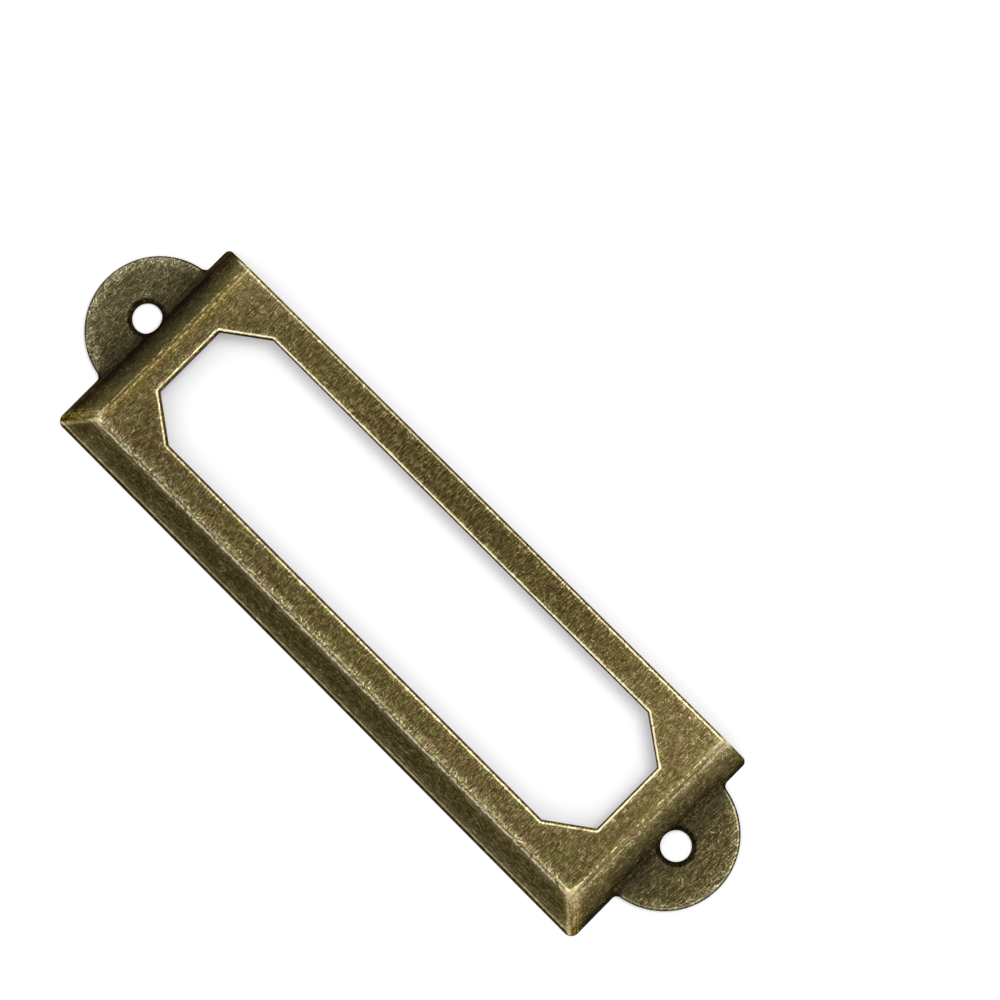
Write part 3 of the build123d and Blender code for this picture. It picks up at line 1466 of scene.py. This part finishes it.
@dataclass
class Studio:
    """A white table under soft light, and the camera above it.

    Sizes are in millimetres and angles in degrees. The sky goes from straight down, 0, to straight
    up, 1, and gives the light at each height.
    """

    aim: tuple[float, float, float] = (0.907, 11.558, 0.0)
    distance: float = 239.81
    lean: float = 5.4
    lean_heading: float = -17.71
    up_heading: float = 134.86
    lens: float = 90.0
    sensor: float = 36.0
    table_half: float = 1500.0
    table_drop: float = 0.02
    table_colour: Colour = (0.82, 0.82, 0.825)
    table_roughness: float = 0.9
    table_specular: float = 0.1
    table_glow: float = 0.19
    sky: tuple[tuple[float, float], ...] = (
        (0.0, 0.28), (0.35, 0.34), (0.6, 0.65), (0.8, 1.05), (1.0, 1.2),
    )
    sky_tint: Colour = (0.985, 0.985, 1.0)
    lamp_distance: float = 500.0
    lamp_size: float = 210.0
    lamp_heading: float = 68.0
    lamp_height: float = 71.0
    lamp_power: float = 0.95

    def build(self) -> list[bpy.types.Object]:
        """Set up the table, the light and the camera.

        Returns:
            The table, the lamp and the camera.
        """
        self._sky()
        return [self._table(), self._lamp(), self._camera()]

    def _table(self) -> bpy.types.Object:
        """Lay the table top just under the holder.

        Returns:
            The table top.
        """
        half = self.table_half * MM
        below = -self.table_drop * MM
        corners = [(-half, -half, below), (half, -half, below), (half, half, below), (-half, half, below)]
        mesh = bpy.data.meshes.new("table_top")
        mesh.from_pydata(corners, [], [(0, 1, 2, 3)])
        material = bpy.data.materials.new("white table")
        material.use_nodes = True
        shader = material.node_tree.nodes["Principled BSDF"]
        shader.inputs["Base Color"].default_value = (*self.table_colour, 1.0)
        shader.inputs["Roughness"].default_value = self.table_roughness
        shader.inputs["Specular IOR Level"].default_value = self.table_specular
        shader.inputs["Emission Color"].default_value = (1.0, 1.0, 1.0, 1.0)
        w = Wiring(material.node_tree)
        ray = w.node("LightPath").outputs
        seen = w.math("MAXIMUM", ray["Is Camera Ray"], ray["Is Glossy Ray"])
        w.feed(shader.inputs["Emission Strength"], w.math("MULTIPLY", seen, self.table_glow))
        mesh.materials.append(material)
        table = in_scene("table_top", mesh)
        return table

    def _lamp(self) -> bpy.types.Object:
        """Hang a square soft lamp beyond the picture's top.

        Returns:
            The lamp.
        """
        data = bpy.data.lights.new("soft_lamp", "AREA")
        data.shape = "SQUARE"
        data.size = self.lamp_size * MM
        data.energy = self.lamp_power
        lamp = in_scene("soft_lamp", data)
        back = self._direction(self.lamp_heading, 90.0 - self.lamp_height)
        lamp.location = back * self.lamp_distance * MM
        lamp.rotation_euler = back.to_track_quat("Z", "Y").to_euler()
        return lamp

    def _sky(self) -> None:
        """Light the room from all sides, brighter from above."""
        world = bpy.data.worlds.new("soft room")
        bpy.context.scene.world = world
        world.use_nodes = True
        w = Wiring(world.node_tree)
        height = w.parts(w.node("TexCoord").outputs["Generated"])["Z"]
        stops = [(at, tuple(light * part for part in self.sky_tint)) for at, light in self.sky]
        background = world.node_tree.nodes["Background"]
        w.feed(background.inputs["Color"], w.ramp(height, stops, "EASE"))

    def _camera(self) -> bpy.types.Object:
        """Hold the camera almost straight above the holder, turned so that it runs aslant.

        Returns:
            The camera.
        """
        back = self._direction(self.lean_heading, self.lean)
        heading = radians(self.up_heading)
        up = Vector((cos(heading), sin(heading), 0.0))
        up = (up - up.dot(back) * back).normalized()
        axes = Matrix((up.cross(back), up, back)).transposed()
        spot = (Vector(self.aim) + back * self.distance) * MM
        data = bpy.data.cameras.new("camera")
        data.sensor_width = self.sensor
        data.lens = self.lens
        data.clip_start = 10.0 * MM
        camera = in_scene("camera", data)
        camera.matrix_world = Matrix.Translation(spot) @ axes.to_4x4()
        bpy.context.scene.camera = camera
        return camera

    @staticmethod
    def _direction(heading: float, from_vertical: float) -> Vector:
        """Give a direction that leans from the vertical.

        Args:
            heading: Where it leans to.
            from_vertical: How far it leans.

        Returns:
            The unit vector.
        """
        tilt = radians(from_vertical)
        turn = radians(heading)
        return Vector((sin(tilt) * cos(turn), sin(tilt) * sin(turn), cos(tilt)))


def main() -> None:
    """Build the holder and the studio."""
    logging.basicConfig(level=logging.INFO, format="%(name)s: %(message)s")
    effects = SharedEffects()
    holder = LabelFrame(StampedSheet.from_frame(), effects).build()
    log.info("%s: %d faces", holder.name, len(holder.data.polygons))
    for thing in Studio().build():
        log.info("%s placed", thing.name)
    bpy.context.scene.view_settings.view_transform = "Standard"


if __name__ == "__main__":
    main()
